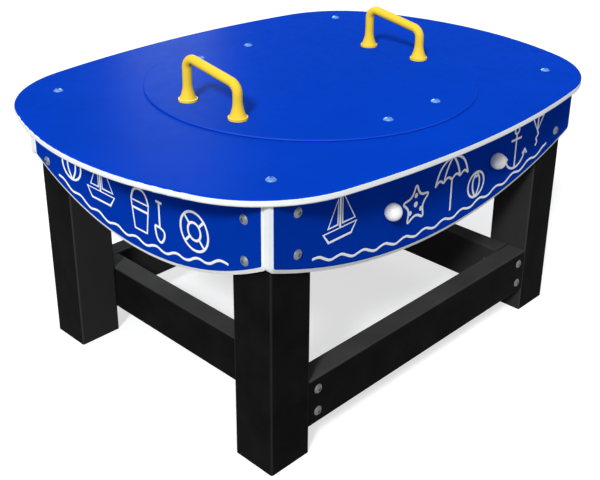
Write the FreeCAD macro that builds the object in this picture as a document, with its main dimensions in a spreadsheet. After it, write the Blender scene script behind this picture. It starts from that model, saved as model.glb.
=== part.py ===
import FreeCAD, Part
import math
import os
from types import SimpleNamespace

import Sketcher
from FreeCAD import Placement, Rotation, Vector

"""
A children's sand table: a bowed sheet top on four square posts, with a round lift-off lid
over a sand tray, four skirts with curved lower edges and a low frame of rails.

Millimetres. +X runs along the table's length, +Y towards its back and +Z up, with the origin
on the floor under the middle of the top. Left and right are those of a person at the front.
"""

# Driving dimensions, each named once
SIZES = {
    # Bowed top, which the rest of the table follows
    "top_height": 590,
    "top_length": 1234,
    "top_width": 940,
    "top_long_bow_radius": 2070,
    "top_short_bow_radius": 740,
    "top_corner_radius": 258,
    # Sheet that the top and the skirts are cut from
    "sheet_thickness": 15,
    "sheet_edge_radius": 4,
    # Square posts of recycled plastic, set in under the top's ends and sides
    "post_width": 100,
    "post_edge_radius": 4,
    "end_overhang": 147,
    "side_overhang": 110,
    # Round lid: a lip lies on the top and a plug drops into its opening
    "lid_margin": 106,
    "lid_thickness": 15,
    "lid_lip_thickness": 4,
    "lid_lip_overlap": 26,
    "lid_edge_radius": 2,
    "lid_gap": 2,
    # Handles and cleats share one pattern of fixings, turned a quarter
    "lid_fixing_inset": 80,
    "lid_fixing_pitch": 152,
    "cleat_length": 210,
    "cleat_width": 44,
    "cleat_thickness": 20,
    # Bent handles with flared feet: the grip rises towards the back
    "handle_front_height": 69,
    "handle_grip_rise": 26,
    "handle_tube_radius": 10,
    "handle_bend_radius": 21,
    "foot_radius": 20,
    "foot_rim_height": 5,
    "foot_neck_radius": 18,
    "foot_flare_height": 38,
    # Sand tray and the bearers that carry it
    "tray_post_gap": 8,
    "tray_skirt_gap": 10,
    "tray_height": 118,
    "tray_wall": 6,
    "tray_corner_radius": 60,
    "tray_floor_radius": 16,
    "tray_rim_gap": 2,
    "tray_screw_inset": 110,
    "bearer_width": 70,
    "bearer_height": 45,
    "bearer_end_gap": 5,
    "bearer_edge_radius": 3,
    # Skirts, measured down from the underside of the top
    "skirt_end_depth": 127,
    "skirt_middle_depth": 225,
    "skirt_corner_radius": 14,
    "skirt_bevel_width": 10,
    "skirt_bevel_depth": 4,
    "skirt_bolt_drop": 34,
    "skirt_bolt_pitch": 80,
    # Rails near the floor
    "rail_height": 104,
    "rail_thickness": 48,
    "rail_bottom": 59,
    "rail_bolt_pitch": 51,
    "rail_edge_radius": 3,
    # Ball knobs on the front skirt
    "knob_pitch": 348,
    "knob_drop": 114,
    "knob_reach": 27.5,
    "knob_flat_radius": 14.4,
    # Dome-headed bolts, and the smaller screws
    "bolt_head_radius": 10,
    "bolt_head_height": 5,
    "bolt_shank_radius": 4,
    "bolt_socket_radius": 4,
    "bolt_socket_depth": 3,
    "bolt_grip": 40,
    "bolt_stagger": 13,
    "top_bolt_offset": 14,
    "top_bolt_grip": 50,
    "nut_radius": 9,
    "nut_height": 8,
    "bolt_tip": 3,
    "screw_head_radius": 7,
    "screw_head_height": 3.5,
    "screw_shank_radius": 2.5,
    "screw_socket_radius": 2.6,
    "screw_socket_depth": 2,
    "screw_grip": 14,
    "tray_screw_grip": 30,
    "hole_clearance": 0.2,
    "cut_overrun": 1,
}


class Length:
    """A length: its value, and the expression that works it out from the sheet."""

    def __init__(self, value, text):
        self.value = value
        self.text = text

    def joined(self, sign, other, value):
        text = other.text if isinstance(other, Length) else str(other)
        return Length(value, f"({self.text} {sign} {text})")

    def __add__(self, other):
        return self.joined("+", other, self.value + other.value)

    def __sub__(self, other):
        return self.joined("-", other, self.value - other.value)

    def __mul__(self, other):
        factor = other.value if isinstance(other, Length) else other
        return self.joined("*", other, self.value * factor)

    def __truediv__(self, other):
        divisor = other.value if isinstance(other, Length) else other
        return self.joined("/", other, self.value / divisor)

    def __neg__(self):
        return self * -1

    def root(self):
        return Length(math.sqrt(self.value), f"sqrt({self.text})")


ZERO = Length(0, "0")
UP = Vector(0, 0, 1)
DOWN = Vector(0, 0, -1)
LEFT = Vector(-1, 0, 0)
RIGHT = Vector(1, 0, 0)
FRONT = Vector(0, -1, 0)
BACK = Vector(0, 1, 0)
BOTH = (-1, 1)

size = SimpleNamespace(**{name: Length(value, f"Sizes.{name}") for name, value in SIZES.items()})
doc = FreeCAD.newDocument("SandTable")
pieces = []


# Shared planes and places, worked out from the driving dimensions
outer_x = size.top_length / 2 - size.end_overhang
outer_y = size.top_width / 2 - size.side_overhang
inner_x = outer_x - size.post_width
inner_y = outer_y - size.post_width
post_x = outer_x - size.post_width / 2
post_y = outer_y - size.post_width / 2
post_top = size.top_height - size.sheet_thickness
lid_top = size.top_height + size.lid_lip_thickness
lid_base = lid_top - size.lid_thickness
lid_radius = size.top_width / 2 - size.lid_margin
plug_radius = lid_radius - size.lid_lip_overlap
fixing_reach = lid_radius - size.lid_fixing_inset
fixing_half = size.lid_fixing_pitch / 2
cleat_base = lid_base - size.cleat_thickness
tray_base = post_top - size.tray_rim_gap - size.tray_height
tray_half_x = inner_x - size.tray_post_gap
tray_half_y = outer_y - size.tray_skirt_gap
bearer_x = inner_x - size.bearer_width / 2
rail_middle = size.rail_bottom + size.rail_height / 2
long_rail_y = outer_y - size.rail_thickness / 2
short_rail_x = inner_x - size.rail_thickness / 2
short_rail_end = outer_y - size.rail_thickness


def write_sheet():
    """Put the driving dimensions in a sheet, one named cell each."""
    sheet = doc.addObject("Spreadsheet::Sheet", "Sizes")
    for row, (name, value) in enumerate(SIZES.items(), start=1):
        sheet.set(f"A{row}", name)
        sheet.set(f"B{row}", str(value))
        sheet.setAlias(f"B{row}", name)
    doc.recompute()


def bind(thing, name, length):
    """Tie a property to the sheet."""
    thing.setExpression(name, length.text)


def put(thing, place, facing=UP):
    """Place an object, with its own Z axis turned to face the given way."""
    thing.Placement = Placement(Vector(), Rotation(UP, facing))
    for axis, length in zip("xyz", place):
        bind(thing, f"Placement.Base.{axis}", length)


def piece(thing, label):
    """Give a finished sub-part its name and list it."""
    thing.Label = label
    pieces.append(thing)
    return thing


def new_body(name):
    return doc.addObject("PartDesign::Body", name)


def base_plane(body, role):
    return next(item for item in body.Origin.OriginFeatures if item.Role == role)


def new_sketch(body, role, offset=ZERO):
    """Attach a sketch to one of the body's own planes, moved along the plane's normal."""
    sketch = body.newObject("Sketcher::SketchObject", "Sketch")
    sketch.AttachmentSupport = (base_plane(body, role), [""])
    sketch.MapMode = "FlatFace"
    bind(sketch, "AttachmentOffset.Base.z", offset)
    return sketch


def dimension(sketch, length, kind, *where):
    index = sketch.addConstraint(Sketcher.Constraint(kind, *where, length.value))
    bind(sketch, f"Constraints[{index}]", length)


def pin(sketch, curve, point, place):
    """Dimension a point of a curve from the sketch's origin."""
    dimension(sketch, place[0], "DistanceX", -1, 1, curve, point)
    dimension(sketch, place[1], "DistanceY", -1, 1, curve, point)


def join(sketch, *ends):
    """Keep two curves' end points together."""
    sketch.addConstraint(Sketcher.Constraint("Coincident", *ends))


def add_circle(sketch, radius, place=(ZERO, ZERO)):
    centre = Vector(place[0].value, place[1].value, 0)
    circle = sketch.addGeometry(Part.Circle(centre, UP, radius.value), False)
    pin(sketch, circle, 3, place)
    dimension(sketch, radius, "Radius", circle)


def add_side(sketch, start, end, centre=None):
    """Draw a line, or an arc of under a half circle about a centre. Return its end points' numbers."""
    if centre is None:
        sketch.addGeometry(Part.LineSegment(start, end), False)
        return 1, 2
    middle = Vector(centre[0].value, centre[1].value, 0)
    turns_left = (start - middle).cross(end - middle).z > 0
    first, last = (start, end) if turns_left else (end, start)
    angles = [math.atan2(point.y - middle.y, point.x - middle.x) for point in (first, last)]
    circle = Part.Circle(middle, UP, (start - middle).Length)
    curve = sketch.addGeometry(Part.ArcOfCircle(circle, angles[0], angles[1]), False)
    chord = end - start
    if abs(chord.x) > abs(chord.y):
        dimension(sketch, centre[1], "DistanceY", -1, 1, curve, 3)
    else:
        dimension(sketch, centre[0], "DistanceX", -1, 1, curve, 3)
    return (1, 2) if turns_left else (2, 1)


def add_outline(sketch, corners, centres=None, closed=True):
    """Draw lines through the corners, or arcs about the centres given by side number."""
    centres = centres or {}
    points = [Vector(x.value, y.value, 0) for x, y in corners]
    count = len(points) if closed else len(points) - 1
    ends = []
    for side in range(count):
        start, end = points[side], points[(side + 1) % len(points)]
        ends.append(add_side(sketch, start, end, centres.get(side)))
        pin(sketch, side, ends[side][0], corners[side])
    for side in range(1, count):
        join(sketch, side - 1, ends[side - 1][1], side, ends[side][0])
    if closed:
        join(sketch, count - 1, ends[-1][1], 0, ends[0][0])
    else:
        pin(sketch, count - 1, ends[-1][1], corners[-1])


def add_rectangle(sketch, centre, sides):
    half_u, half_v = sides[0] / 2, sides[1] / 2
    shares = [(-1, -1), (1, -1), (1, 1), (-1, 1)]
    add_outline(sketch, [(centre[0] + half_u * u, centre[1] + half_v * v) for u, v in shares])


def pad(body, sketch, length, reverse=False):
    feature = body.newObject("PartDesign::Pad", "Pad")
    feature.Profile = sketch
    feature.Reversed = reverse
    bind(feature, "Length", length)
    doc.recompute()
    return feature


def pocket_through(body, sketch):
    """Cut a sketch right through the body, both ways."""
    feature = body.newObject("PartDesign::Pocket", "Pocket")
    feature.Profile = sketch
    feature.Type = "ThroughAll"
    feature.Midplane = True
    before = feature.BaseFeature.Shape.Volume
    doc.recompute()
    if feature.Shape.Volume >= before:
        raise RuntimeError(f"{body.Name}: the pocket cut nothing")
    return feature


def revolve(body, sketch):
    """Turn a sketch about its own upright axis."""
    feature = body.newObject("PartDesign::Revolution", "Revolution")
    feature.Profile = sketch
    feature.ReferenceAxis = (sketch, ["V_Axis"])
    doc.recompute()
    return feature


def soften_edges(body, feature, kind, measure, length, wanted):
    """Round or bevel the edges of a feature that a test picks out by their bounds."""
    names = [f"Edge{number}" for number, edge in enumerate(feature.Shape.Edges, start=1)
             if wanted(edge.BoundBox)]
    softened = body.newObject(f"PartDesign::{kind}", kind)
    softened.Base = (feature, names)
    bind(softened, measure, length)
    doc.recompute()
    return softened


def round_edges(body, feature, radius, wanted):
    return soften_edges(body, feature, "Fillet", "Radius", radius, wanted)


def bevel_edges(body, feature, width, depth, wanted):
    """Bevel the rim of a padded face by a width on that face and a depth on its sides."""
    bevel = soften_edges(body, feature, "Chamfer", "Size", depth, wanted)
    bevel.ChamferType = "Two distances"
    bind(bevel, "Size2", width)
    doc.recompute()
    return bevel


def near(first, second):
    return math.isclose(first, second, abs_tol=1e-4)


def bar(name, role, centre, sides, start, length, edge_radius):
    """A straight bar: a rectangle padded along its plane's normal, with its long edges rounded."""
    body = new_body(name)
    sketch = new_sketch(body, role, start)
    add_rectangle(sketch, centre, sides)
    blank = pad(body, sketch, length)
    run = {"XY_Plane": "ZLength", "XZ_Plane": "YLength", "YZ_Plane": "XLength"}[role]
    round_edges(body, blank, edge_radius, lambda box: near(getattr(box, run), length.value))
    return body


def hexagon(body, kind, radius, base, height):
    """Add or cut a six-sided prism about the body's own axis."""
    prism = body.newObject(f"PartDesign::{kind}Prism", "Hexagon")
    prism.AttachmentSupport = (base_plane(body, "XY_Plane"), [""])
    prism.MapMode = "FlatFace"
    prism.Polygon = 6
    bind(prism, "AttachmentOffset.Base.z", base)
    bind(prism, "Circumradius", radius)
    bind(prism, "Height", height)
    doc.recompute()


def dome_fastener(name, head_radius, head_height, shank_radius, length, socket_radius, socket_depth):
    """A domed fastener with a hexagon socket, head up with its seat at Z 0, and the hole that takes it."""
    body = new_body(name)
    dome = (head_radius * head_radius + head_height * head_height) / (head_height * 2)
    corners = [(ZERO, -length), (shank_radius, -length), (shank_radius, ZERO), (head_radius, ZERO),
               (ZERO, head_height)]
    sketch = new_sketch(body, "XZ_Plane")
    add_outline(sketch, corners, {3: (ZERO, head_height - dome)})
    revolve(body, sketch)
    hexagon(body, "Subtractive", socket_radius, head_height - socket_depth, socket_depth)
    hole = new_body(f"{name}_hole")
    circle = new_sketch(hole, "XY_Plane", size.cut_overrun)
    add_circle(circle, shank_radius + size.hole_clearance)
    pad(hole, circle, length + size.hole_clearance + size.cut_overrun, reverse=True)
    return body, hole


def bolt(name, length):
    return dome_fastener(name, size.bolt_head_radius, size.bolt_head_height, size.bolt_shank_radius,
                         length, size.bolt_socket_radius, size.bolt_socket_depth)


def screw(name, length):
    return dome_fastener(name, size.screw_head_radius, size.screw_head_height, size.screw_shank_radius,
                         length, size.screw_socket_radius, size.screw_socket_depth)


def copies(thing, places, facing):
    """Set a copy of an object at each place, and hold them in one compound."""
    links = []
    for place in places:
        link = doc.addObject("App::Link", f"{thing.Name}_copy")
        link.LinkedObject = thing
        put(link, place, facing)
        links.append(link)
    group = doc.addObject("Part::Compound", f"{thing.Name}_group")
    group.Links = links
    return group


def fixings(label, fastener, places, facing):
    """Place a group of fasteners as one sub-part, and return the holes for them."""
    body, hole = fastener
    piece(copies(body, places, facing), label)
    return copies(hole, places, facing)


def drilled(label, blank, holes):
    """Cut holes in a blank to finish a sub-part."""
    tool = doc.addObject("Part::Compound", f"{label}_holes")
    tool.Links = holes
    cut = doc.addObject("Part::Cut", label)
    cut.Base = blank
    cut.Tool = tool
    return piece(cut, label)


def four_ways(x, y, z):
    return [(x * sx, y * sy, z) for sx in BOTH for sy in BOTH]


def make_top(holes):
    """The top: four shallow bows with rounded corners, and the lid's opening."""
    body = new_body("top_blank")
    half_x, half_y = size.top_length / 2, size.top_width / 2
    end_centre = half_x - size.top_short_bow_radius
    side_centre = half_y - size.top_long_bow_radius
    corner = crossing(end_centre, size.top_short_bow_radius, side_centre, size.top_long_bow_radius)
    bows = [(end_centre, ZERO, size.top_short_bow_radius), (ZERO, side_centre, size.top_long_bow_radius),
            (-end_centre, ZERO, size.top_short_bow_radius), (ZERO, -side_centre, size.top_long_bow_radius)]
    sketch = new_sketch(body, "XY_Plane", post_top)
    starts = [Vector(corner.x * sx, corner.y * sy, 0) for sx, sy in ((1, -1), (1, 1), (-1, 1), (-1, -1))]
    for side, (x, y, radius) in enumerate(bows):
        middle = Vector(x.value, y.value, 0)
        spokes = [starts[side] - middle, starts[(side + 1) % len(starts)] - middle]
        angles = [math.atan2(spoke.y, spoke.x) for spoke in spokes]
        sketch.addGeometry(Part.ArcOfCircle(Part.Circle(middle, UP, radius.value), *angles), False)
        pin(sketch, side, 3, (x, y))
        dimension(sketch, radius, "Radius", side)
    for side in range(len(bows)):
        join(sketch, side, 2, (side + 1) % len(bows), 1)
    blank = pad(body, sketch, size.sheet_thickness)
    corners = round_edges(body, blank, size.top_corner_radius,
                          lambda box: box.ZLength > 0 and near(box.XLength, 0))
    round_edges(body, corners, size.sheet_edge_radius, lambda box: near(box.ZLength, 0))
    opening = new_sketch(body, "XY_Plane", post_top)
    add_circle(opening, plug_radius + size.lid_gap)
    pocket_through(body, opening)
    return drilled("table_top", body, holes)


def crossing(end_centre, end_radius, side_centre, side_radius):
    """Where an end bow centred on X meets a side bow centred on Y, in the first quarter."""
    end_middle = Vector(end_centre.value, 0, 0)
    side_middle = Vector(0, side_centre.value, 0)
    along = end_middle - side_middle
    gap = along.Length
    reach = (side_radius.value ** 2 - end_radius.value ** 2 + gap ** 2) / (2 * gap)
    rise = math.sqrt(side_radius.value ** 2 - reach ** 2)
    along.normalize()
    return side_middle + along * reach + Vector(along.y, -along.x, 0) * rise


def make_skirt(label, role, half_span, offset, outwards, holes):
    """A skirt: a flat sheet with a curved lower edge, bevelled on its outer face."""
    body = new_body(f"{label}_blank")
    end_z = post_top - size.skirt_end_depth
    sag = size.skirt_middle_depth - size.skirt_end_depth
    radius = (half_span * half_span + sag * sag) / (sag * 2)
    sketch = new_sketch(body, role, offset)
    corners = [(half_span, post_top), (-half_span, post_top), (-half_span, end_z), (half_span, end_z)]
    add_outline(sketch, corners, {2: (ZERO, end_z - sag + radius)})
    reverse = outwards in (LEFT, BACK)
    blank = pad(body, sketch, size.sheet_thickness, reverse)
    outer_face = (outer_x if outwards in (LEFT, RIGHT) else outer_y) + size.sheet_thickness

    def on_outer_rim(box):
        flat = near(abs(box.Center.dot(outwards)), outer_face.value)
        return flat and box.Center.z < post_top.value - size.skirt_bevel_width.value

    corners = round_edges(body, blank, size.skirt_corner_radius,
                          lambda box: near(box.ZMin, end_z.value) and near(box.ZMax, end_z.value))
    bevel_edges(body, corners, size.skirt_bevel_width, size.skirt_bevel_depth, on_outer_rim)
    return drilled(label, body, holes)


def make_lid(holes):
    """The lid: a plug that drops into the opening, under a lip with a rounded rim."""
    body = new_body("lid_blank")
    sketch = new_sketch(body, "XZ_Plane")
    add_outline(sketch, [(ZERO, lid_base), (plug_radius, lid_base), (plug_radius, size.top_height),
                         (lid_radius, size.top_height), (lid_radius, lid_top), (ZERO, lid_top)])
    disc = revolve(body, sketch)
    round_edges(body, disc, size.lid_edge_radius,
                lambda box: near(box.ZMin, lid_top.value) and near(box.ZMax, lid_top.value))
    return drilled("lid", body, holes)


def make_handle(label, side, holes):
    """A handle: a bent tube swept along its path, with a flared foot turned at each end."""
    body = new_body(f"{label}_blank")
    pitch, rise, bend = size.lid_fixing_pitch, size.handle_grip_rise, size.handle_bend_radius
    grip = (pitch * pitch + rise * rise).root()
    bend_y = fixing_half - bend
    front_z = size.handle_front_height + bend * rise / pitch - bend * grip / pitch
    back_z = front_z + bend_y * 2 * rise / pitch
    step_y, step_z = bend * rise / grip, bend * pitch / grip
    path = new_sketch(body, "YZ_Plane")
    add_outline(path, [(-fixing_half, ZERO), (-fixing_half, front_z), (-bend_y - step_y, front_z + step_z),
                       (bend_y - step_y, back_z + step_z), (fixing_half, back_z), (fixing_half, ZERO)],
                {1: (-bend_y, front_z), 3: (bend_y, back_z)}, closed=False)
    section = new_sketch(body, "XY_Plane")
    add_circle(section, size.handle_tube_radius, (ZERO, -fixing_half))
    doc.recompute()
    tube = body.newObject("PartDesign::AdditivePipe", "Tube")
    tube.Profile = section
    tube.Spine = (path, [f"Edge{number + 1}" for number in range(len(path.Shape.Edges))])
    doc.recompute()

    flare_run = size.foot_flare_height - size.foot_rim_height
    flare_step = size.foot_neck_radius - size.handle_tube_radius
    flare = (flare_step * flare_step + flare_run * flare_run) / (flare_step * 2)
    foot_sketch = new_sketch(body, "YZ_Plane")
    bind(foot_sketch, "AttachmentOffset.Base.x", -fixing_half)
    add_outline(foot_sketch, [(ZERO, ZERO), (size.foot_radius, ZERO),
                              (size.foot_radius, size.foot_rim_height),
                              (size.foot_neck_radius, size.foot_rim_height),
                              (size.handle_tube_radius, size.foot_flare_height),
                              (ZERO, size.foot_flare_height)],
                {3: (size.handle_tube_radius + flare, size.foot_flare_height)})
    foot = revolve(body, foot_sketch)
    pair = body.newObject("PartDesign::Mirrored", "Feet")
    pair.Originals = [foot]
    pair.MirrorPlane = (base_plane(body, "XZ_Plane"), [""])
    body.Tip = pair
    put(body, (fixing_reach * side, ZERO, lid_top))
    return drilled(label, body, holes)


def make_tray(holes):
    """The sand tray: a block with rounded corners and floor edges, shelled from above."""
    body = new_body("tray_blank")
    sketch = new_sketch(body, "XY_Plane", tray_base)
    add_rectangle(sketch, (ZERO, ZERO), (tray_half_x * 2, tray_half_y * 2))
    block = pad(body, sketch, size.tray_height)
    corners = round_edges(body, block, size.tray_corner_radius,
                          lambda box: near(box.ZLength, size.tray_height.value))
    block = round_edges(body, corners, size.tray_floor_radius,
                        lambda box: near(box.ZMax, tray_base.value))
    faces = enumerate(block.Shape.Faces, start=1)
    mouth = next(f"Face{number}" for number, face in faces
                 if near(face.BoundBox.ZMin, tray_base.value + size.tray_height.value))
    shell = body.newObject("PartDesign::Thickness", "Shell")
    shell.Base = (block, [mouth])
    shell.Reversed = True
    bind(shell, "Value", size.tray_wall)
    doc.recompute()
    return drilled("sand_tray", body, holes)


def make_knob(label, place, holes):
    """A ball knob: a ball cut flat where it meets the skirt."""
    body = new_body(f"{label}_blank")
    flat, reach = size.knob_flat_radius, size.knob_reach
    radius = (flat * flat + reach * reach) / (reach * 2)
    sketch = new_sketch(body, "XZ_Plane")
    add_outline(sketch, [(ZERO, ZERO), (flat, ZERO), (ZERO, reach)], {1: (ZERO, reach - radius)})
    revolve(body, sketch)
    put(body, place, FRONT)
    return drilled(label, body, holes)


def make_nuts(places, holes):
    """Hexagon nuts under the cleats."""
    body = new_body("nut")
    hexagon(body, "Additive", size.nut_radius, ZERO, size.nut_height)
    return drilled("lid_nuts", copies(body, places, UP), holes)


def make_lid_set():
    """The lid with its handles, cleats and fixings."""
    stack = size.lid_thickness + size.cleat_thickness + size.nut_height
    cleat_bolt = bolt("cleat_bolt", stack + size.bolt_tip)
    cleat_places = four_ways(fixing_half, fixing_reach, lid_top)
    cleat_holes = fixings("lid_bolts", cleat_bolt, cleat_places, UP)
    handle_screw = screw("handle_screw", size.lid_thickness + size.foot_flare_height - size.screw_grip)
    handle_places = four_ways(fixing_reach, fixing_half, lid_base)
    handle_holes = fixings("handle_screws", handle_screw, handle_places, DOWN)
    make_lid([cleat_holes, handle_holes])
    for side, name in zip(BOTH, ("left", "right")):
        make_handle(f"handle_{name}", side, [handle_holes])
    for side, name in zip(BOTH, ("front", "back")):
        blank = bar(f"cleat_{name}_blank", "XY_Plane", (ZERO, fixing_reach * side),
                    (size.cleat_length, size.cleat_width), cleat_base, size.cleat_thickness,
                    size.bearer_edge_radius)
        drilled(f"lid_cleat_{name}", blank, [cleat_holes])
    nut_places = four_ways(fixing_half, fixing_reach, cleat_base - size.nut_height)
    make_nuts(nut_places, [cleat_holes])


def make_skirt_set():
    """Skirts, ball knobs and their fixings. Return the holes by the side they are on."""
    skirt_bolt = bolt("skirt_bolt", size.sheet_thickness + size.bolt_grip)
    knob_screw = screw("knob_screw", size.sheet_thickness + size.screw_grip)
    knob_z = post_top - size.knob_drop
    knob_places = [(size.knob_pitch / 2 * side, -outer_y, knob_z) for side in BOTH]
    knob_holes = fixings("knob_screws", knob_screw, knob_places, BACK)
    for (x, y, z), name in zip(knob_places, ("left", "right")):
        make_knob(f"ball_knob_{name}", (x, y - size.sheet_thickness, z), [knob_holes])

    upper = post_top - size.skirt_bolt_drop
    long_levels = (upper, upper - size.skirt_bolt_pitch)
    short_levels = [level - size.bolt_stagger for level in long_levels]
    holes = {}
    for side, name, outwards in zip(BOTH, ("front", "back"), (FRONT, BACK)):
        places = [(post_x * end, (outer_y + size.sheet_thickness) * side, level)
                  for end in BOTH for level in long_levels]
        holes[name] = fixings(f"skirt_bolts_{name}", skirt_bolt, places, outwards)
        cuts = [holes[name], knob_holes] if name == "front" else [holes[name]]
        half_length = outer_x + size.sheet_thickness
        make_skirt(f"skirt_{name}", "XZ_Plane", half_length, -outer_y * side, outwards, cuts)
    for side, name, outwards in zip(BOTH, ("left", "right"), (LEFT, RIGHT)):
        places = [((outer_x + size.sheet_thickness) * side, post_y * end, level)
                  for end in BOTH for level in short_levels]
        holes[name] = fixings(f"skirt_bolts_{name}", skirt_bolt, places, outwards)
        make_skirt(f"skirt_{name}", "YZ_Plane", outer_y, outer_x * side, outwards, [holes[name]])
    return holes


def make_rail_set():
    """Long rails flush with the posts' outer faces, and short rails between them, inside the posts."""
    long_bolt = bolt("long_rail_bolt", size.rail_thickness + size.bolt_grip)
    short_bolt = bolt("short_rail_bolt", size.rail_thickness + size.bolt_grip)
    half_pitch = size.rail_bolt_pitch / 2
    long_levels = (rail_middle + half_pitch, rail_middle - half_pitch)
    short_levels = [level - size.bolt_stagger for level in long_levels]
    end_y = (short_rail_end + inner_y) / 2
    long_holes = {}
    for side, name, outwards in zip(BOTH, ("front", "back"), (FRONT, BACK)):
        places = [(short_rail_x * end, outer_y * side, level) for end in BOTH for level in long_levels]
        long_holes[name] = fixings(f"long_rail_bolts_{name}", long_bolt, places, outwards)
        blank = bar(f"long_rail_{name}_blank", "YZ_Plane", (long_rail_y * side, rail_middle),
                    (size.rail_thickness, size.rail_height), -inner_x, inner_x * 2, size.rail_edge_radius)
        drilled(f"long_rail_{name}", blank, [long_holes[name]])
    short_holes = {}
    for side, name, inwards in zip(BOTH, ("left", "right"), (RIGHT, LEFT)):
        face = inner_x - size.rail_thickness
        places = [(face * side, end_y * end, level) for end in BOTH for level in short_levels]
        short_holes[name] = fixings(f"short_rail_bolts_{name}", short_bolt, places, inwards)
        blank = bar(f"short_rail_{name}_blank", "XZ_Plane", (short_rail_x * side, rail_middle),
                    (size.rail_thickness, size.rail_height), -short_rail_end, short_rail_end * 2,
                    size.rail_edge_radius)
        drilled(f"short_rail_{name}", blank, [*long_holes.values(), short_holes[name]])
    return short_holes


def make_tray_set():
    """The sand tray on two bearers, which are bolted to the posts."""
    tray_screw = screw("tray_screw", size.tray_wall + size.tray_screw_grip)
    tray_places = four_ways(bearer_x, tray_half_y - size.tray_screw_inset, tray_base + size.tray_wall)
    tray_holes = fixings("tray_screws", tray_screw, tray_places, UP)
    make_tray([tray_holes])
    bearer_bolt = bolt("bearer_bolt", size.bearer_width + size.bolt_grip)
    half_length = outer_y - size.bearer_end_gap
    level = tray_base - size.bearer_height / 2
    holes = {}
    for side, name, inwards in zip(BOTH, ("left", "right"), (RIGHT, LEFT)):
        places = [((inner_x - size.bearer_width) * side, post_y * end, level) for end in BOTH]
        holes[name] = fixings(f"bearer_bolts_{name}", bearer_bolt, places, inwards)
        blank = bar(f"bearer_{name}_blank", "XZ_Plane", (bearer_x * side, level),
                    (size.bearer_width, size.bearer_height), -half_length, half_length * 2,
                    size.bearer_edge_radius)
        drilled(f"tray_bearer_{name}", blank, [tray_holes, holes[name]])
    return holes


def make_table():
    """The whole table, from the lid down to the posts."""
    make_lid_set()
    top_bolt = bolt("top_bolt", size.sheet_thickness + size.top_bolt_grip)
    top_x, top_y = post_x + size.top_bolt_offset, post_y + size.top_bolt_offset
    top_holes = fixings("top_bolts", top_bolt, four_ways(top_x, top_y, size.top_height), UP)
    make_top([top_holes])
    skirt_holes = make_skirt_set()
    rail_holes = make_rail_set()
    bearer_holes = make_tray_set()
    for side_x, column in zip(BOTH, ("left", "right")):
        for side_y, row in zip(BOTH, ("front", "back")):
            blank = bar(f"leg_{row}_{column}_blank", "XY_Plane", (post_x * side_x, post_y * side_y),
                        (size.post_width, size.post_width), ZERO, post_top, size.post_edge_radius)
            drilled(f"leg_{row}_{column}", blank, [top_holes, skirt_holes[row], skirt_holes[column],
                                                   rail_holes[column], bearer_holes[column]])


def check_and_write():
    """Stop on any failed feature or bad solid, then write each sub-part to its own file."""
    doc.recompute()
    for thing in doc.Objects:
        if {"Invalid", "Error"} & set(thing.State):
            raise RuntimeError(f"{thing.Label}: {thing.State}")
    os.makedirs("parts", exist_ok=True)
    for thing in pieces:
        if thing.Shape.isNull() or not thing.Shape.isValid():
            raise RuntimeError(f"{thing.Label}: bad shape")
        thing.Shape.exportStep(f"parts/{thing.Label}.step")
        print(f"{thing.Label}: {len(thing.Shape.Solids)} solids, {thing.Shape.Volume / 1000:.1f} cm3")


write_sheet()
make_table()
check_and_write()
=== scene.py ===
# %% [markdown]
# # A children's sand table
#
# The table stands on four black posts. Its bowed top and its four skirts are cut from sandwich sheet, a
# thin blue skin on a white core, and a round lid with two yellow handles covers the sand tray. The
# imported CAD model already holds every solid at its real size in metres, so this lesson loads it as a
# fixed frame, gives each piece its finish, adds the routed drawing on the skirts, and sets up the
# camera and the lights.

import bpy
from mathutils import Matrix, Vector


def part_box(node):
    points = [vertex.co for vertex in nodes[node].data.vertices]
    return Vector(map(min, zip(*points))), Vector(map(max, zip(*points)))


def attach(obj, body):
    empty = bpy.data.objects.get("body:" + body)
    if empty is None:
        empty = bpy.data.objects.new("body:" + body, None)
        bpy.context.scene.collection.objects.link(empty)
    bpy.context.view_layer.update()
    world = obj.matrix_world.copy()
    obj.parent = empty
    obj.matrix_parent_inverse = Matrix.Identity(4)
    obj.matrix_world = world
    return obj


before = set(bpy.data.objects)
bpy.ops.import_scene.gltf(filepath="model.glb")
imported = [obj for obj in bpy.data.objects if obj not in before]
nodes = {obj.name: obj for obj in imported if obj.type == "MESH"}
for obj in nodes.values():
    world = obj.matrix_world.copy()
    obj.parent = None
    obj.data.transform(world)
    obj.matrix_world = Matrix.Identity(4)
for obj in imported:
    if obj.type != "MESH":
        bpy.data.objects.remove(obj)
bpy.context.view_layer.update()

# %% [markdown]
# ## The camera
#
# The photograph is taken from the front left, a little above the table. A camera can be turned until
# the view looks right, but here it was fitted to the posts' feet, the bolts and the lid's rim, and the
# fitted place, angles and lens are written down. The view is shifted down a little, because the picture
# shows more of the posts than a camera pointed at the middle of its frame would.

# %% Set the camera
import math

import bpy
from mathutils import Matrix, Vector

scene = bpy.context.scene
scene.view_settings.view_transform = "Standard"

CAMERA_PLACE = (-1.4778, -1.4095, 1.2655)
CAMERA_AZIMUTH = math.radians(-45.743)
CAMERA_ELEVATION = math.radians(23.287)
CAMERA_ROLL = math.radians(0.453)
CAMERA_LENS = 58.503
CAMERA_SHIFT = -0.125

bpy.ops.object.select_all(action="DESELECT")
bpy.ops.object.camera_add(location=CAMERA_PLACE)
camera = bpy.context.object
turn = Matrix.Rotation(CAMERA_AZIMUTH, 3, "Z")
tilt = Matrix.Rotation(math.pi / 2 - CAMERA_ELEVATION, 3, "X")
roll = Matrix.Rotation(CAMERA_ROLL, 3, "Z")
camera.rotation_euler = (turn @ tilt @ roll).to_euler()
camera.data.lens = CAMERA_LENS
camera.data.shift_y = CAMERA_SHIFT
scene.camera = camera
print("camera at", tuple(round(value, 3) for value in camera.location))

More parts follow.
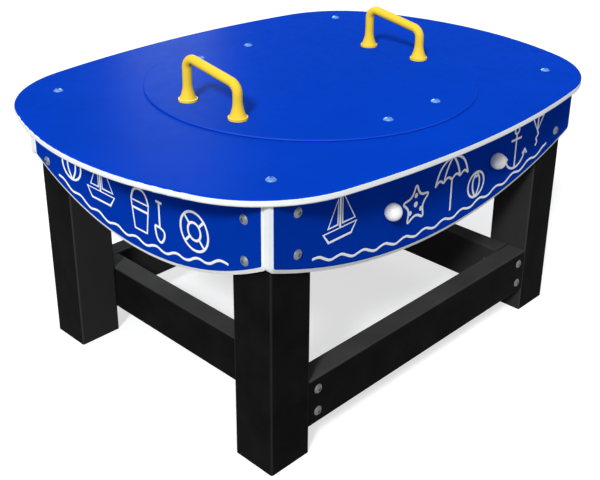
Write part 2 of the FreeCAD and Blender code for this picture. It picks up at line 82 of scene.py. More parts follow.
# %% [markdown]
# ## Sky and key light
#
# The picture is a studio one: a white floor that runs into a white background, soft light from all
# round, and a key light from the front left that throws a soft shadow under the overhang of the top.
# The sky gives the soft light. It is a little brighter overhead, so that the flat top doesn't mirror a
# pale horizon. A sun is the key, and its wide angle blurs the shadows as a large lamp would. The
# background is white only for rays that come from the camera or from a mirror, so it adds no light to
# the table.

# %% Helpers for shader nodes


def add_node(tree, kind, inputs=None, **settings):
    """Add a node, set its settings, and fill or link its inputs."""
    node = tree.nodes.new(kind)
    for name, value in settings.items():
        setattr(node, name, value)
    for name, value in (inputs or {}).items():
        if isinstance(value, bpy.types.NodeSocket):
            tree.links.new(value, node.inputs[name])
        else:
            node.inputs[name].default_value = value
    return node


def worked_out(tree, operation, *terms, **settings):
    """One number worked out from one or two others."""
    node = add_node(tree, "ShaderNodeMath", dict(enumerate(terms)), operation=operation, **settings)
    return node.outputs[0]


def spread(tree, value, start, end, low, high):
    """Turn a number that runs from start to end into one that runs from low to high."""
    inputs = {"Value": value, "From Min": start, "From Max": end, "To Min": low, "To Max": high}
    return add_node(tree, "ShaderNodeMapRange", inputs).outputs["Result"]


def axes(tree, vector):
    """The X, Y and Z of a vector."""
    return add_node(tree, "ShaderNodeSeparateXYZ", {"Vector": vector}).outputs


def seen_directly(tree):
    """A factor of 1 for camera, mirror and glass rays, and 0 for the light that falls on things."""
    path = add_node(tree, "ShaderNodeLightPath").outputs
    factor = path["Is Camera Ray"]
    for other in ("Is Glossy Ray", "Is Transmission Ray"):
        factor = worked_out(tree, "MAXIMUM", factor, path[other])
    return factor


# %% Make the sky
WHITE = (1.0, 1.0, 1.0, 1.0)
SKY_HORIZON = 0.45
SKY_ZENITH = 0.50
ZENITH_HEIGHT = 0.8

world = bpy.data.worlds.new("studio_sky")
scene.world = world
world.use_nodes = True
sky = world.node_tree
sky.nodes.clear()
direction = add_node(sky, "ShaderNodeTexCoord").outputs["Generated"]
level = spread(sky, axes(sky, direction)["Z"], 0.0, ZENITH_HEIGHT, SKY_HORIZON, SKY_ZENITH)
soft = add_node(sky, "ShaderNodeBackground", {"Color": WHITE, "Strength": level}).outputs[0]
white = add_node(sky, "ShaderNodeBackground", {"Color": WHITE, "Strength": 1.0}).outputs[0]
shown = add_node(sky, "ShaderNodeMixShader", {"Fac": seen_directly(sky), 1: soft, 2: white}).outputs[0]
add_node(sky, "ShaderNodeOutputWorld", {"Surface": shown})
print(f"sky of strength {SKY_HORIZON} at the horizon and {SKY_ZENITH} overhead")

# %% Add the key light
KEY_PLACE = (-2.0, -1.2, 2.0)
KEY_SIDE = Vector((-0.697, -0.356, 0.623))
KEY_STRENGTH = 2.73
KEY_ANGLE = math.radians(10)


def shining_from(side):
    """The turn of a lamp whose light comes from a side."""
    return side.to_track_quat("Z", "Y").to_euler()


bpy.ops.object.light_add(type="SUN", location=KEY_PLACE)
key = bpy.context.object
key.name = "key_light"
key.rotation_euler = shining_from(KEY_SIDE)
key.data.energy = KEY_STRENGTH
key.data.angle = KEY_ANGLE
print(f"{key.name}: strength {KEY_STRENGTH}")

# %% [markdown]
# ## The sheen on the top
#
# The left of the top has a satin sheen. It is the soft mirror image of a tall, narrow lamp that stands
# behind the table, so an area lamp of that shape gives it, in a slightly cool white. The lamp shows
# only in reflections and lights nothing else. The handles, and the screws in their feet, would cut dark
# streaks into the sheen, so they don't block this lamp.

# %% Add the sheen light
SHEEN_PLACE = (2.205, 3.335, 2.7)
SHEEN_SIDE = Vector((0.62, 0.78, 0.25))
SHEEN_WIDTH = 0.6
SHEEN_HEIGHT = 3.0
SHEEN_POWER = 150
SHEEN_TINT = (0.80, 1.0, 1.0)

bpy.ops.object.light_add(type="AREA", location=SHEEN_PLACE)
sheen = bpy.context.object
sheen.name = "sheen_light"
sheen.rotation_euler = shining_from(SHEEN_SIDE)
sheen.data.shape = "RECTANGLE"
sheen.data.size = SHEEN_WIDTH
sheen.data.size_y = SHEEN_HEIGHT
sheen.data.energy = SHEEN_POWER
sheen.data.color = SHEEN_TINT
sheen.data.cycles.use_multiple_importance_sampling = False
sheen.visible_camera = False
sheen.visible_diffuse = False

passed = bpy.data.collections.new("sheen_passes")
sheen.light_linking.blocker_collection = passed
for name in ("handle_left", "handle_right", "handle_screws"):
    passed.objects.link(nodes[name])
for row in passed.collection_objects:
    row.light_linking.link_state = "EXCLUDE"

# %% [markdown]
# ## The floor
#
# The floor has two looks. For the light that falls on the table it is a dark grey, so that little light
# comes back up under the top. For the camera, and in mirrors, it glows nearly white by itself, and a
# paler grey under the glow takes the table's soft shadow.

# %% Lay the floor
FLOOR_SIZE = 40
FLOOR_BOUNCE = (0.28, 0.28, 0.28, 1.0)
FLOOR_SHADE = (0.535, 0.54, 0.56, 1.0)
FLOOR_GLOW = 0.63

bpy.ops.mesh.primitive_plane_add(size=FLOOR_SIZE)
floor = bpy.context.object
floor.name = "studio_floor"
floor_paint = bpy.data.materials.new("studio_floor")
floor_paint.use_nodes = True
ground = floor_paint.node_tree
ground.nodes.clear()
bounce = add_node(ground, "ShaderNodeBsdfDiffuse", {"Color": FLOOR_BOUNCE}).outputs[0]
shade = add_node(ground, "ShaderNodeBsdfDiffuse", {"Color": FLOOR_SHADE}).outputs[0]
glow = add_node(ground, "ShaderNodeEmission", {"Color": WHITE, "Strength": FLOOR_GLOW}).outputs[0]
pale = add_node(ground, "ShaderNodeAddShader", {0: shade, 1: glow}).outputs[0]
shown = add_node(ground, "ShaderNodeMixShader", {"Fac": seen_directly(ground), 1: bounce, 2: pale}).outputs[0]
add_node(ground, "ShaderNodeOutputMaterial", {"Surface": shown})
floor.data.materials.append(floor_paint)
print(f"{floor.name}: {FLOOR_SIZE} m square")

# %% [markdown]
# ## Plastics
#
# Nearly everything here is plastic, but no two plastics look alike close up. Sheet has a fine skin like
# orange peel, moulded handles a smoother one, and recycled posts carry drag lines along their length.
# Each finish below starts from one recipe: a colour that drifts a little over the surface, a roughness
# that drifts too, and a fine bump. The textures read Object coordinates in metres, so their grain has
# its real size on every piece.

# %% Start a finish


def new_finish(name):
    """A material with a Principled shader, its node tree, and the metres of the piece it is on."""
    material = bpy.data.materials.new(name)
    material.use_nodes = True
    tree = material.node_tree
    tree.nodes.clear()
    shader = add_node(tree, "ShaderNodeBsdfPrincipled")
    add_node(tree, "ShaderNodeOutputMaterial", {"Surface": shader.outputs[0]})
    metres = add_node(tree, "ShaderNodeTexCoord").outputs["Object"]
    return material, tree, shader, metres


def paint(finish, *names):
    """Give nodes a finish, in place of the plain one they were packed with."""
    for name in names:
        for slot in nodes[name].material_slots:
            slot.material = finish


# %% Noise, and what it drives
NOISE_LOW = 0.25
NOISE_HIGH = 0.75
COLOUR_LOW = 6
COLOUR_HIGH = 7
COLOUR_RESULT = 2


def stretched(tree, metres, scale):
    """Coordinates with a different scale along each axis."""
    return add_node(tree, "ShaderNodeMapping", {"Vector": metres, "Scale": scale}).outputs["Vector"]


def noise(tree, vector, scale, detail=2.0):
    """A soft noise, finer where the scale is larger."""
    inputs = {"Vector": vector, "Scale": scale, "Detail": detail}
    return add_node(tree, "ShaderNodeTexNoise", inputs).outputs["Fac"]


def between(tree, value, low, high):
    """Spread a noise, which seldom leaves its middle half, over a range of numbers."""
    return spread(tree, value, NOISE_LOW, NOISE_HIGH, low, high)


def mixed(tree, factor, low, high):
    """A number that runs from low to high with a factor."""
    return add_node(tree, "ShaderNodeMix", {"Factor": factor, "A": low, "B": high}).outputs[0]


def tinted(tree, factor, low, high):
    """A colour that runs from low to high with a factor."""
    mix = add_node(tree, "ShaderNodeMix", {"Factor": factor}, data_type="RGBA")
    for socket, colour in ((COLOUR_LOW, low), (COLOUR_HIGH, high)):
        if isinstance(colour, bpy.types.NodeSocket):
            tree.links.new(colour, mix.inputs[socket])
        else:
            mix.inputs[socket].default_value = (*colour, 1.0)
    return mix.outputs[COLOUR_RESULT]


# %% The recipe for a moulded plastic
COLOUR_DRIFT = 0.05
DRIFT_SCALE = 7.0
ROUGH_SCALE = 40.0
ROUGH_DRIFT = 0.05
FINE_GRAIN = 900.0
GRAIN_DEPTH = 0.00004


def shaded(colour, share):
    """A share of a colour, darker below 1 and lighter above it."""
    return tuple(value * share for value in colour)


def drifting(tree, metres, colour, drift=COLOUR_DRIFT, scale=DRIFT_SCALE):
    """A colour that wanders a little lighter and darker over a piece."""
    factor = between(tree, noise(tree, metres, scale), 0.0, 1.0)
    return tinted(tree, factor, shaded(colour, 1 - drift), shaded(colour, 1 + drift))


def bumped(tree, shader, height, depth):
    """Raise a fine texture by a depth in metres."""
    bump = add_node(tree, "ShaderNodeBump", {"Height": height, "Strength": 1.0, "Distance": depth})
    tree.links.new(bump.outputs["Normal"], shader.inputs["Normal"])


def moulded(name, colour, roughness, specular, grain=FINE_GRAIN, painted_light=None):
    """A plain moulded plastic with a fine skin, whose colour may be given painted light and shade."""
    material, tree, shader, metres = new_finish(name)
    shown = drifting(tree, metres, colour)
    if painted_light:
        shown = painted_light(tree, metres, shown)
    tree.links.new(shown, shader.inputs["Base Color"])
    rough = between(tree, noise(tree, metres, ROUGH_SCALE), roughness - ROUGH_DRIFT, roughness + ROUGH_DRIFT)
    tree.links.new(rough, shader.inputs["Roughness"])
    shader.inputs["Specular IOR Level"].default_value = specular
    bumped(tree, shader, noise(tree, metres, grain), GRAIN_DEPTH)
    return material


# %% [markdown]
# ## Sandwich sheet
#
# The top and the skirts are one kind of sheet: a thick white core under a thin blue skin. A saw or a
# router cuts through the skin, so the white shows at every edge, and where an edge is bevelled or
# rounded over, the blue stops in a clean line. Painting the edges face by face would be slow, and the
# line would follow the mesh. Instead the finish asks how deep inside the sheet a point lies, and turns
# white below the skin. The core also shows the cutter's faint lines, which run along the edge. The top
# has the thicker skin. Its core is painted a little whiter as painted light, and the skirts' blue and
# core a little darker as painted shade on the upright skirts.

# %% The recipe for the sheet
CORE_SCALE = 30.0
CORE_SHADE = 0.95
CORE_ROUGHNESS = 0.6
SKIN_ROUGHNESS = (0.25, 0.31)
SHEET_GLOSS = 0.0004
PEEL_GRAIN = 700.0
CUT_ALONG = 40
CUT_ACROSS = 900


def sheet_finish(name, blue, white, axis, face, skin):
    """Sheet with a blue skin of some depth, whose face lies so far out from the middle along an axis."""
    material, tree, shader, metres = new_finish(name)
    out = worked_out(tree, "ABSOLUTE", axes(tree, metres)[axis])
    core = worked_out(tree, "LESS_THAN", out, face - skin)
    clouds = between(tree, noise(tree, metres, CORE_SCALE), 0.0, 1.0)
    cut = tinted(tree, clouds, shaded(white, CORE_SHADE), white)
    tree.links.new(tinted(tree, core, drifting(tree, metres, blue), cut), shader.inputs["Base Color"])
    skin_rough = between(tree, noise(tree, metres, ROUGH_SCALE), *SKIN_ROUGHNESS)
    tree.links.new(mixed(tree, core, skin_rough, CORE_ROUGHNESS), shader.inputs["Roughness"])
    shader.inputs["Specular IOR Level"].default_value = SHEET_GLOSS
    peel = noise(tree, metres, PEEL_GRAIN)
    scale = [CUT_ACROSS if letter == axis else CUT_ALONG for letter in "XYZ"]
    lines = noise(tree, stretched(tree, metres, scale), 1.0)
    bumped(tree, shader, mixed(tree, core, peel, lines), GRAIN_DEPTH)
    return material


# %% Finish the top and the skirts
BLUE = (0.0008, 0.051, 0.558)
# Painted shade and light: the skirts' blue and core are darker copies for the upright skirts, and the top's
# core is painted lighter.
SHADED_SKIRT_BLUE = shaded(BLUE, 0.70)
LIT_TOP_CORE = (0.93, 0.97, 0.98)
SHADED_SKIRT_CORE = (0.89, 0.93, 0.95)
TOP_SKIN = 0.0024
SKIRT_SKIN = 0.0008
TOP_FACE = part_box("table_top")[1].z
FRONT_FACE = -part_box("skirt_front")[0].y
SIDE_FACE = -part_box("skirt_left")[0].x

top_sheet = sheet_finish("top_sheet", BLUE, LIT_TOP_CORE, "Z", TOP_FACE, TOP_SKIN)
long_sheet = sheet_finish("long_skirt_sheet", SHADED_SKIRT_BLUE, SHADED_SKIRT_CORE, "Y", FRONT_FACE, SKIRT_SKIN)
side_sheet = sheet_finish("side_skirt_sheet", SHADED_SKIRT_BLUE, SHADED_SKIRT_CORE, "X", SIDE_FACE, SKIRT_SKIN)
paint(top_sheet, "table_top")
paint(long_sheet, "skirt_front", "skirt_back")
paint(side_sheet, "skirt_left", "skirt_right")
print(f"blue faces at {TOP_FACE:.3f} m up, and {FRONT_FACE:.3f} and {SIDE_FACE:.3f} m out")

# %% [markdown]
# ## Lid, handles, knobs and tray
#
# The lid is blue all through, so its rim shows no white. Along the very rim a paler blue is painted in
# patches as a painted highlight, and a dark line of painted shade runs low on the lip, where it meets
# the top. Both depend only on where a point lies, out from the middle or up from the top, so the finish
# works them out from that. The handles are moulded in a warm yellow with a soft gloss, the ball knobs in
# a shinier white, and the tray, which only shows when the lid is lifted, in a dull grey.

# %% Finish the lid
LID_ROUGHNESS = 0.28
# Painted shade: a dark line low on the lip, where it meets the top.
PAINTED_RIM_SHADE = shaded(BLUE, 0.30)
RIM_SHADE_HEIGHT = 0.0018
# Painted highlight: a paler blue in patches along the very rim.
PAINTED_RIM_HIGHLIGHT = (0.10, 0.20, 0.72)
RIM_HIGHLIGHT_WIDTH = 0.002
RIM_HIGHLIGHT_SCALE = 5.0
RIM_HIGHLIGHT_MOST = 0.32


def painted_rim_highlight(tree, metres):
    """A factor for the painted highlight, highest on the very rim of the lid, and coming and going along it.
    """
    level = {0: metres, 1: (1.0, 1.0, 0.0)}
    flat = add_node(tree, "ShaderNodeVectorMath", level, operation="MULTIPLY").outputs[0]
    out = add_node(tree, "ShaderNodeVectorMath", {0: flat}, operation="LENGTH").outputs["Value"]
    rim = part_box("lid")[1].x
    near = spread(tree, out, rim - RIM_HIGHLIGHT_WIDTH, rim, 0.0, 1.0)
    patches = between(tree, noise(tree, metres, RIM_HIGHLIGHT_SCALE), 0.0, RIM_HIGHLIGHT_MOST)
    return worked_out(tree, "MULTIPLY", near, patches)


def lid_painted_light(tree, metres, clean):
    """The lid's colour, with a painted highlight paler along the rim and painted shade low on the lip."""
    above = worked_out(tree, "SUBTRACT", axes(tree, metres)["Z"], TOP_FACE)
    off = worked_out(tree, "ABSOLUTE", above)
    rim_shade = spread(tree, off, RIM_SHADE_HEIGHT, RIM_SHADE_HEIGHT / 2, 0.0, 1.0)
    painted_highlight = tinted(tree, painted_rim_highlight(tree, metres), clean, PAINTED_RIM_HIGHLIGHT)
    return tinted(tree, rim_shade, painted_highlight, PAINTED_RIM_SHADE)


# The lid gets a painted highlight along its rim and a line of painted shade on its lip.
paint(moulded("lid_sheet", BLUE, LID_ROUGHNESS, SHEET_GLOSS, grain=PEEL_GRAIN, painted_light=lid_painted_light), "lid")
print(f"lid: rubbed along {RIM_HIGHLIGHT_WIDTH * 1000:.0f} mm of its rim")

# %% Finish the moulded pieces
YELLOW = (0.93, 0.64, 0.045)
KNOB_WHITE = (0.97, 0.97, 0.97)
TRAY_GREY = (0.33, 0.34, 0.35)
TRAY_GRAIN = 500.0

handle_yellow = moulded("handle_yellow", YELLOW, roughness=0.42, specular=0.04)
knob_white = moulded("knob_white", KNOB_WHITE, roughness=0.28, specular=0.40)
tray_grey = moulded("tray_grey", TRAY_GREY, roughness=0.50, specular=0.30, grain=TRAY_GRAIN)
paint(handle_yellow, "handle_left", "handle_right")
paint(knob_white, "ball_knob_left", "ball_knob_right")
paint(tray_grey, "sand_tray")
print("moulded:", handle_yellow.name, knob_white.name, tray_grey.name)

# %% [markdown]
# ## Posts and rails
#
# The posts and rails are extruded from recycled plastic, black but not quite even: the die drags faint
# lines along the length, tiny pits break the skin, and knocks scuff the long edges lighter. The upper
# faces are lightened towards a dusty grey, partly dry dust and partly painted light, and the inner faces
# that look in under the table are lightened towards the same grey as painted light on faces in shade.
# The lines and the scuffs have to follow each piece, so every kind of bar gets its own copy of one
# recipe. A bar's box tells where its long edges are: a point is on an edge when it is near two of the
# bar's faces at once.

# %% Wear and dust on a bar
WEAR_REACH = 0.0045
WEAR_FULL = 0.0010
WEAR_MOST = 0.8
INNER_REACH = 0.1


def edge_wear(tree, metres, node, run):
    """A factor that is high on the long edges of a bar, which run along an axis, and 0 a little way off."""
    low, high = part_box(node)
    places = axes(tree, metres)
    depths = []
    for axis in (letter for letter in "XYZ" if letter != run):
        start, end = (getattr(corner, axis.lower()) for corner in (low, high))
        place = worked_out(tree, "ABSOLUTE", places[axis])
        off = worked_out(tree, "SUBTRACT", place, abs(start + end) / 2)
        off = worked_out(tree, "ABSOLUTE", off)
        depths.append(worked_out(tree, "SUBTRACT", (end - start) / 2, off))
    nearest = worked_out(tree, "MAXIMUM", *depths)
    return spread(tree, nearest, WEAR_REACH, WEAR_FULL, 0.0, WEAR_MOST)


def inner_side(tree, metres, facing):
    """A factor of 1 on the faces that look in under the table, and 0 on the outer ones."""
    product = add_node(tree, "ShaderNodeVectorMath", {0: metres, 1: facing}, operation="MULTIPLY").outputs[0]
    parts = axes(tree, product)
    lower = worked_out(tree, "MINIMUM", parts["X"], parts["Y"])
    return worked_out(tree, "LESS_THAN", lower, -INNER_REACH)


# %% The colour of a bar
BLACK = (0.0060, 0.0060, 0.0062)
DARKER = 0.75
LIGHTER = 1.4
PATCH_SCALE = 18.0
PATCH_DETAIL = 3.0
SCUFFED = (0.024, 0.024, 0.024)
# Dust and painted light: the upper faces are lightened, partly for dust and partly as painted light.
DUST_AND_PAINTED_LIGHT = (0.057, 0.057, 0.056)
DUST_AND_LIGHT_SCALE = 9.0
LEAST_DUST_AND_LIGHT = 0.6
# Painted light: the inner faces in shade are lightened towards the same grey.
INNER_PAINTED_LIGHT = 0.46


def bar_colour(tree, metres, bar, run):
    """Uneven black, scuffed along the edges, with dust and painted light on the upper faces and painted light
    on the inner ones.
    """
    patches = between(tree, noise(tree, metres, PATCH_SCALE, PATCH_DETAIL), 0.0, 1.0)
    colour = tinted(tree, patches, shaded(BLACK, DARKER), shaded(BLACK, LIGHTER))
    colour = tinted(tree, edge_wear(tree, metres, bar, run), colour, SCUFFED)
    facing = add_node(tree, "ShaderNodeNewGeometry").outputs["Normal"]
    dust_and_light_patches = between(tree, noise(tree, metres, DUST_AND_LIGHT_SCALE, PATCH_DETAIL), LEAST_DUST_AND_LIGHT, 1.0)
    upper_dust_and_light = worked_out(tree, "MULTIPLY", axes(tree, facing)["Z"], dust_and_light_patches, use_clamp=True)
    inner_light = worked_out(tree, "MULTIPLY", inner_side(tree, metres, facing), INNER_PAINTED_LIGHT)
    return tinted(tree, worked_out(tree, "MAXIMUM", upper_dust_and_light, inner_light), colour, DUST_AND_PAINTED_LIGHT)


# %% Finish the posts and rails
DRAG_ALONG = 6
DRAG_ACROSS = 260
DRAG_DETAIL = 4.0
BAR_ROUGHNESS = (0.36, 0.52)
BAR_GLOSS = 0.004
PIT_SCALE = 160.0
PIT_SIZE = 0.18
DRAG_DEPTH = 0.00012


def extruded(name, run, *bars):
    """Black recycled plastic for bars that run along an axis."""
    material, tree, shader, metres = new_finish(name)
    tree.links.new(bar_colour(tree, metres, bars[0], run), shader.inputs["Base Color"])
    scale = [DRAG_ALONG if letter == run else DRAG_ACROSS for letter in "XYZ"]
    lines = noise(tree, stretched(tree, metres, scale), 1.0, DRAG_DETAIL)
    tree.links.new(between(tree, lines, *BAR_ROUGHNESS), shader.inputs["Roughness"])
    shader.inputs["Specular IOR Level"].default_value = BAR_GLOSS
    cells = add_node(tree, "ShaderNodeTexVoronoi", {"Vector": metres, "Scale": PIT_SCALE}).outputs["Distance"]
    pits = spread(tree, cells, 0.0, PIT_SIZE, 0.0, 1.0)
    bumped(tree, shader, worked_out(tree, "ADD", lines, pits), DRAG_DEPTH)
    paint(material, *bars)
    print(f"{name}: {len(bars)} bars along {run}")


extruded("post_plastic", "Z", "leg_front_left", "leg_back_left", "leg_front_right", "leg_back_right")
extruded("long_rail_plastic", "X", "long_rail_front", "long_rail_back")
extruded("short_rail_plastic", "Y", "short_rail_left", "short_rail_right")
extruded("bearer_plastic", "Y", "tray_bearer_left", "tray_bearer_right")
extruded("cleat_plastic", "X", "lid_cleat_front", "lid_cleat_back")

# %% [markdown]
# ## Bolts and screws
#
# The dome-headed bolts, with their hexagon sockets, come from the CAD. Their heads look tumbled: soft,
# with fine scuffs that go every way. A metal takes its colour from what it mirrors, so its base is a
# plain grey: dull on the skirts and duller on the rails by the floor. The bolts of the top and the lid
# have a blue base instead, a painted reflection of the blue sheet around them.

# %% Finish the fasteners
STEEL = (0.20, 0.215, 0.24)
DULL_STEEL = (0.16, 0.16, 0.155)
# Painted reflection: a blue base that stands for the blue sheet these bolts mirror.
PAINTED_BLUE_CAST_STEEL = (0.15, 0.29, 0.60)
STEEL_DRIFT = 0.08
STEEL_SCALE = 60.0
SCUFF_SCALE = 1400.0
SCUFF_DETAIL = 3.0
SCUFF_DEPTH = 0.00002
STEEL_ROUGHNESS = (0.50, 0.66)


def tumbled_steel(name, colour):
    """Steel with fine scuffs."""
    material, tree, shader, metres = new_finish(name)
    shader.inputs["Metallic"].default_value = 1.0
    tree.links.new(drifting(tree, metres, colour, STEEL_DRIFT, STEEL_SCALE), shader.inputs["Base Color"])
    scuffs = noise(tree, metres, SCUFF_SCALE, SCUFF_DETAIL)
    tree.links.new(between(tree, scuffs, *STEEL_ROUGHNESS), shader.inputs["Roughness"])
    bumped(tree, shader, scuffs, SCUFF_DEPTH)
    return material


fasteners = [name for name in nodes if any(word in name for word in ("bolts", "screws", "nuts"))]
dull = [name for name in fasteners if "rail" in name]
# These bolts get the painted blue reflection.
clean = ["top_bolts", "lid_bolts"]
paint(tumbled_steel("fastener_steel", STEEL), *fasteners)
paint(tumbled_steel("dull_steel", DULL_STEEL), *dull)
paint(tumbled_steel("painted_blue_cast_steel", PAINTED_BLUE_CAST_STEEL), *clean)
print(f"{len(fasteners)} groups of fasteners, {len(dull)} of them dull and {len(clean)} clean")

# %% [markdown]
# ## The routed drawing
#
# On the real skirts a router draws white lines by cutting through the blue skin. Here the drawing is a
# seaside one of its own: boats, waves, gulls, an anchor and beach things, with no words. A picture
# mapped onto the skirt would be blurred close up, so each line is one spline of a curve, drawn at its
# place on the skirt's face. Each motif is a list of strokes in millimetres, across and up from its own
# middle. A stroke is open or closed where its corners are sharp, and smooth or round where it bends.

# %% Helpers for drawing in millimetres


def ring(x, z, radius, count=10):
    """Points round a circle."""
    angles = [math.tau * step / count for step in range(count)]
    return [(x + radius * math.cos(angle), z + radius * math.sin(angle)) for angle in angles]


def star(points, outer, inner_light):
    """Points of a star, tips and notches by turns."""
    reach = [inner_light if step % 2 else outer for step in range(2 * points)]
    angles = [math.pi * step / points for step in range(2 * points)]
    return [(math.sin(angle) * far, math.cos(angle) * far) for angle, far in zip(angles, reach)]


def waves(start, end, level, swing, length):
    """A line of waves that follows a level."""
    count = int((end - start) / length * 4)
    points = []
    for step in range(count + 1):
        x = start + (end - start) * step / count
        points.append((x, level(x) + swing * math.sin(math.tau * (x - start) / length)))
    return [("smooth", points)]


# %% Things on the water and in the air
sailing_boat = [
    ("closed", [(-44, 0), (44, 0), (30, -20), (-30, -20)]),
    ("open", [(0, 0), (0, 76)]),
    ("closed", [(6, 68), (6, 8), (40, 8)]),
    ("closed", [(-6, 58), (-6, 8), (-32, 8)]),
]
anchor = [
    ("round", ring(0, 42, 8)),
    ("open", [(0, 34), (0, -42)]),
    ("open", [(-19, 22), (19, 22)]),
    ("smooth", [(-36, -10), (-32, -30), (0, -46), (32, -30), (36, -10)]),
    ("open", [(-44, -20), (-36, -8), (-27, -18)]),
    ("open", [(44, -20), (36, -8), (27, -18)]),
]
life_ring = [
    ("round", ring(0, 0, 36, 14)),
    ("round", ring(0, 0, 17, 10)),
    ("open", [(-12, 12), (-25, 25)]),
    ("open", [(12, 12), (25, 25)]),
    ("open", [(-12, -12), (-25, -25)]),
    ("open", [(12, -12), (25, -25)]),
]
gull = [("smooth", [(-26, 4), (-20, 12), (-10, 11), (0, 0), (10, 11), (20, 12), (26, 4)])]
cloud = [
    ("round", [(-34, -8), (-36, 6), (-22, 10), (-16, 24), (4, 26), (14, 16), (30, 14), (38, 2), (34, -10),
               (0, -12)]),
]
kite = [
    ("closed", [(0, 42), (28, 6), (0, -38), (-28, 6)]),
    ("open", [(0, 42), (0, -38)]),
    ("open", [(-28, 6), (28, 6)]),
    ("smooth", [(0, -38), (10, -50), (-8, -60), (6, -72), (-6, -82)]),
]
afloat = (sailing_boat, anchor, life_ring, gull, cloud, kite)
print(f"{len(afloat)} motifs with {sum(map(len, afloat))} strokes")

# %% Things on the beach
starfish = [
    ("round", star(5, 48, 19)),
    ("round", ring(0, 0, 4, 6)),
    ("round", ring(0, 19, 3, 6)),
    ("round", ring(17, -14, 3, 6)),
    ("round", ring(-17, -14, 3, 6)),
]
beach_ball = [
    ("round", ring(0, 0, 34, 14)),
    ("smooth", [(0, 34), (-13, 18), (-15, 0), (-11, -18), (0, -34)]),
    ("smooth", [(0, 34), (13, 18), (15, 0), (11, -18), (0, -34)]),
    ("round", ring(0, 27, 6, 8)),
]
parasol = [
    ("smooth", [(-50, 0), (-42, 26), (-22, 42), (0, 47), (22, 42), (42, 26), (50, 0)]),
    ("smooth", [(-50, 0), (-42, 8), (-34, 8), (-25, 0), (-18, 8), (-8, 8), (0, 0), (8, 8), (18, 8), (25, 0),
                (34, 8), (42, 8), (50, 0)]),
    ("smooth", [(0, 47), (-18, 30), (-25, 0)]),
    ("smooth", [(0, 47), (18, 30), (25, 0)]),
    ("open", [(0, 2), (0, -62)]),
    ("open", [(0, 47), (0, 54)]),
]
bucket = [
    ("closed", [(-27, 28), (27, 28), (19, -32), (-19, -32)]),
    ("smooth", [(-27, 28), (-22, 50), (0, 58), (22, 50), (27, 28)]),
    ("open", [(-25, 12), (25, 12)]),
]
spade = [
    ("open", [(-9, 46), (9, 46)]),
    ("open", [(0, 46), (0, -6)]),
    ("smooth", [(-14, -6), (14, -6), (14, -26), (0, -42), (-14, -26), (-14, -6)]),
]
lighthouse = [
    ("closed", [(-24, -60), (24, -60), (15, 32), (-15, 32)]),
    ("open", [(-20, -22), (20, -22)]),
    ("open", [(-17, 8), (17, 8)]),
    ("closed", [(-20, 32), (20, 32), (20, 38), (-20, 38)]),
    ("closed", [(-11, 38), (11, 38), (11, 56), (-11, 56)]),
    ("open", [(-16, 56), (0, 72), (16, 56)]),
]
ashore = (starfish, beach_ball, parasol, bucket, spade, lighthouse)
print(f"{len(ashore)} motifs with {sum(map(len, ashore))} strokes")

# %% [markdown]
# ## The layout on the skirts
#
# Each motif is moved to its place, in millimetres across from the skirt's middle and up from the floor,
# so the layout reads like a plan. The line of waves follows the arc of the skirt's lower edge, a little
# above it. The two long skirts share most motifs and differ in the middle, and the two side skirts are
# alike.

# %% Arrange the drawing on each skirt
ARC_END = 448.0
ARC_MIDDLE = 350.0
LONG_HALF = 485
SIDE_HALF = 360
LONG_WAVES = 384
SIDE_WAVES = 268
WAVE_MARGIN = 26
WAVE_SWING = 5.5
WAVE_LENGTH = 62


def moved(strokes, x, z, scale=1.0):
    """Put a motif at its place."""
    return [(kind, [(x + u * scale, z + v * scale) for u, v in points]) for kind, points in strokes]


def arc_waves(half_length, half_span):
    """Waves along a skirt's lower edge, an arc of some half span that is lowest in the middle."""
    sag = ARC_END - ARC_MIDDLE
    radius = (half_span * half_span + sag * sag) / (2 * sag)

    def level(x):
        return ARC_MIDDLE + radius - math.sqrt(radius * radius - x * x) + WAVE_MARGIN

    return waves(-half_length, half_length, level, WAVE_SWING, WAVE_LENGTH)


def long_drawing(middle):
    """The drawing for a long skirt, with motifs of its own in the middle."""
    strokes = arc_waves(LONG_WAVES, LONG_HALF)
    strokes += moved(sailing_boat, -312, 474)
    strokes += moved(gull, -236, 528, 0.9)
    strokes += moved(starfish, -92, 446)
    strokes += middle
    strokes += moved(anchor, 256, 462, 1.05)
    strokes += moved(kite, 340, 512, 0.78)
    return strokes


def side_drawing():
    """The drawing for a side skirt."""
    strokes = arc_waves(SIDE_WAVES, SIDE_HALF)
    strokes += moved(beach_ball, -216, 468)
    strokes += moved(sailing_boat, -116, 440, 1.05)
    strokes += moved(gull, -40, 520, 0.9)
    strokes += moved(bucket, 14, 432)
    strokes += moved(spade, 74, 434)
    strokes += moved(cloud, 112, 522, 0.9)
    strokes += moved(life_ring, 176, 456, 1.1)
    return strokes


front_middle = moved(parasol, 24, 462, 1.1) + moved(beach_ball, 112, 424, 0.85) + moved(gull, 196, 528, 0.9)
back_middle = moved(lighthouse, 26, 452, 1.1) + moved(life_ring, 128, 446) + moved(cloud, 168, 528, 0.9)
print(f"{len(long_drawing(front_middle))} strokes on the front, {len(side_drawing())} on a side")

# %% [markdown]
# ## Routing the lines
#
# A round bevel gives a curve the width of the cutter's track. The curve is then made a mesh, its end
# caps are joined to its tubes, and the mesh is pressed nearly flat against the face, so that the line
# lies in the sheet with its blunt ends closed. Cutting real grooves would change the CAD meshes, which
# stay as they are.

# %% A helper that routs a drawing
LINE_WIDTH = 0.0052
LINE_FLATNESS = 0.12
LINE_SIDES = 2
LINE_STEPS = 5
CAP_JOIN = 0.00001
SMOOTH_ANGLE = math.radians(40)
MILLIMETRES = 1000


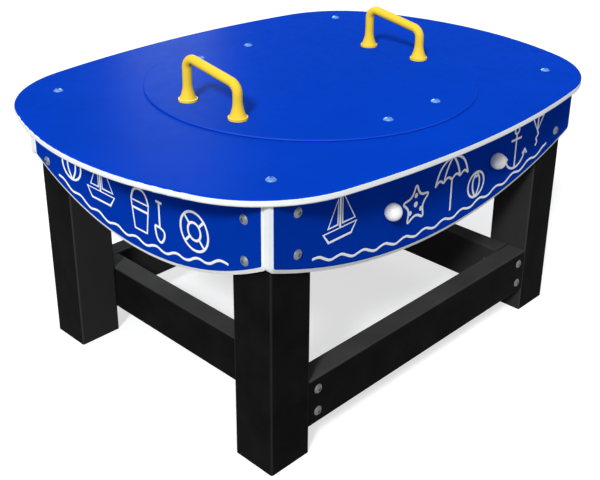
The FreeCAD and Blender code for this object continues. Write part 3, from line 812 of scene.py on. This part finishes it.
def drawn(name, strokes, place):
    """A bevelled curve with one spline for each stroke, at a place on a face."""
    bpy.ops.object.select_all(action="DESELECT")
    bpy.ops.curve.primitive_nurbs_path_add()
    lines = bpy.context.object
    lines.name = name
    curve = lines.data
    curve.splines.clear()
    curve.bevel_depth = LINE_WIDTH / 2
    curve.bevel_resolution = LINE_SIDES
    curve.resolution_u = LINE_STEPS
    curve.use_fill_caps = True
    for kind, points in strokes:
        spline = curve.splines.new("POLY" if kind in ("open", "closed") else "NURBS")
        spline.points.add(len(points) - 1)
        for point, (x, z) in zip(spline.points, points):
            point.co = (*place(x / MILLIMETRES, z / MILLIMETRES), 1.0)
        spline.use_cyclic_u = kind in ("closed", "round")
        if spline.type == "NURBS":
            spline.order_u = 3
            spline.use_endpoint_u = kind == "smooth"


def rout(name, strokes, place, across):
    """Make the strokes one mesh of flat white lines, at a place on a face and pressed flat across it."""
    drawn(name, strokes, place)
    bpy.ops.object.convert(target="MESH")
    lines = bpy.context.object
    bpy.ops.object.mode_set(mode="EDIT")
    bpy.ops.mesh.select_all(action="SELECT")
    bpy.ops.mesh.remove_doubles(threshold=CAP_JOIN)
    squeeze = [LINE_FLATNESS if letter == across else 1.0 for letter in "XYZ"]
    bpy.ops.transform.resize(value=squeeze, center_override=place(0.0, 0.0))
    bpy.ops.mesh.normals_make_consistent(inside=False)
    bpy.ops.object.mode_set(mode="OBJECT")
    bpy.ops.object.shade_smooth_by_angle(angle=SMOOTH_ANGLE)
    lines.data.materials.append(routed_white)
    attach(lines, "table")
    print(f"{name}: {len(strokes)} lines, {len(lines.data.polygons)} faces")


# %% Rout the drawing into the skirts
ROUTED_GRAIN = 1200.0

# The routed lines take the skirts' core white, which is painted a shade darker as painted shade.
routed_white = moulded("routed_white", SHADED_SKIRT_CORE, roughness=0.55, specular=0.15, grain=ROUTED_GRAIN)
rout("front_drawing", long_drawing(front_middle), lambda x, z: (x, -FRONT_FACE, z), "Y")
rout("back_drawing", long_drawing(back_middle), lambda x, z: (-x, FRONT_FACE, z), "Y")
rout("left_drawing", side_drawing(), lambda x, z: (-SIDE_FACE, -x, z), "X")
rout("right_drawing", side_drawing(), lambda x, z: (SIDE_FACE, x, z), "X")
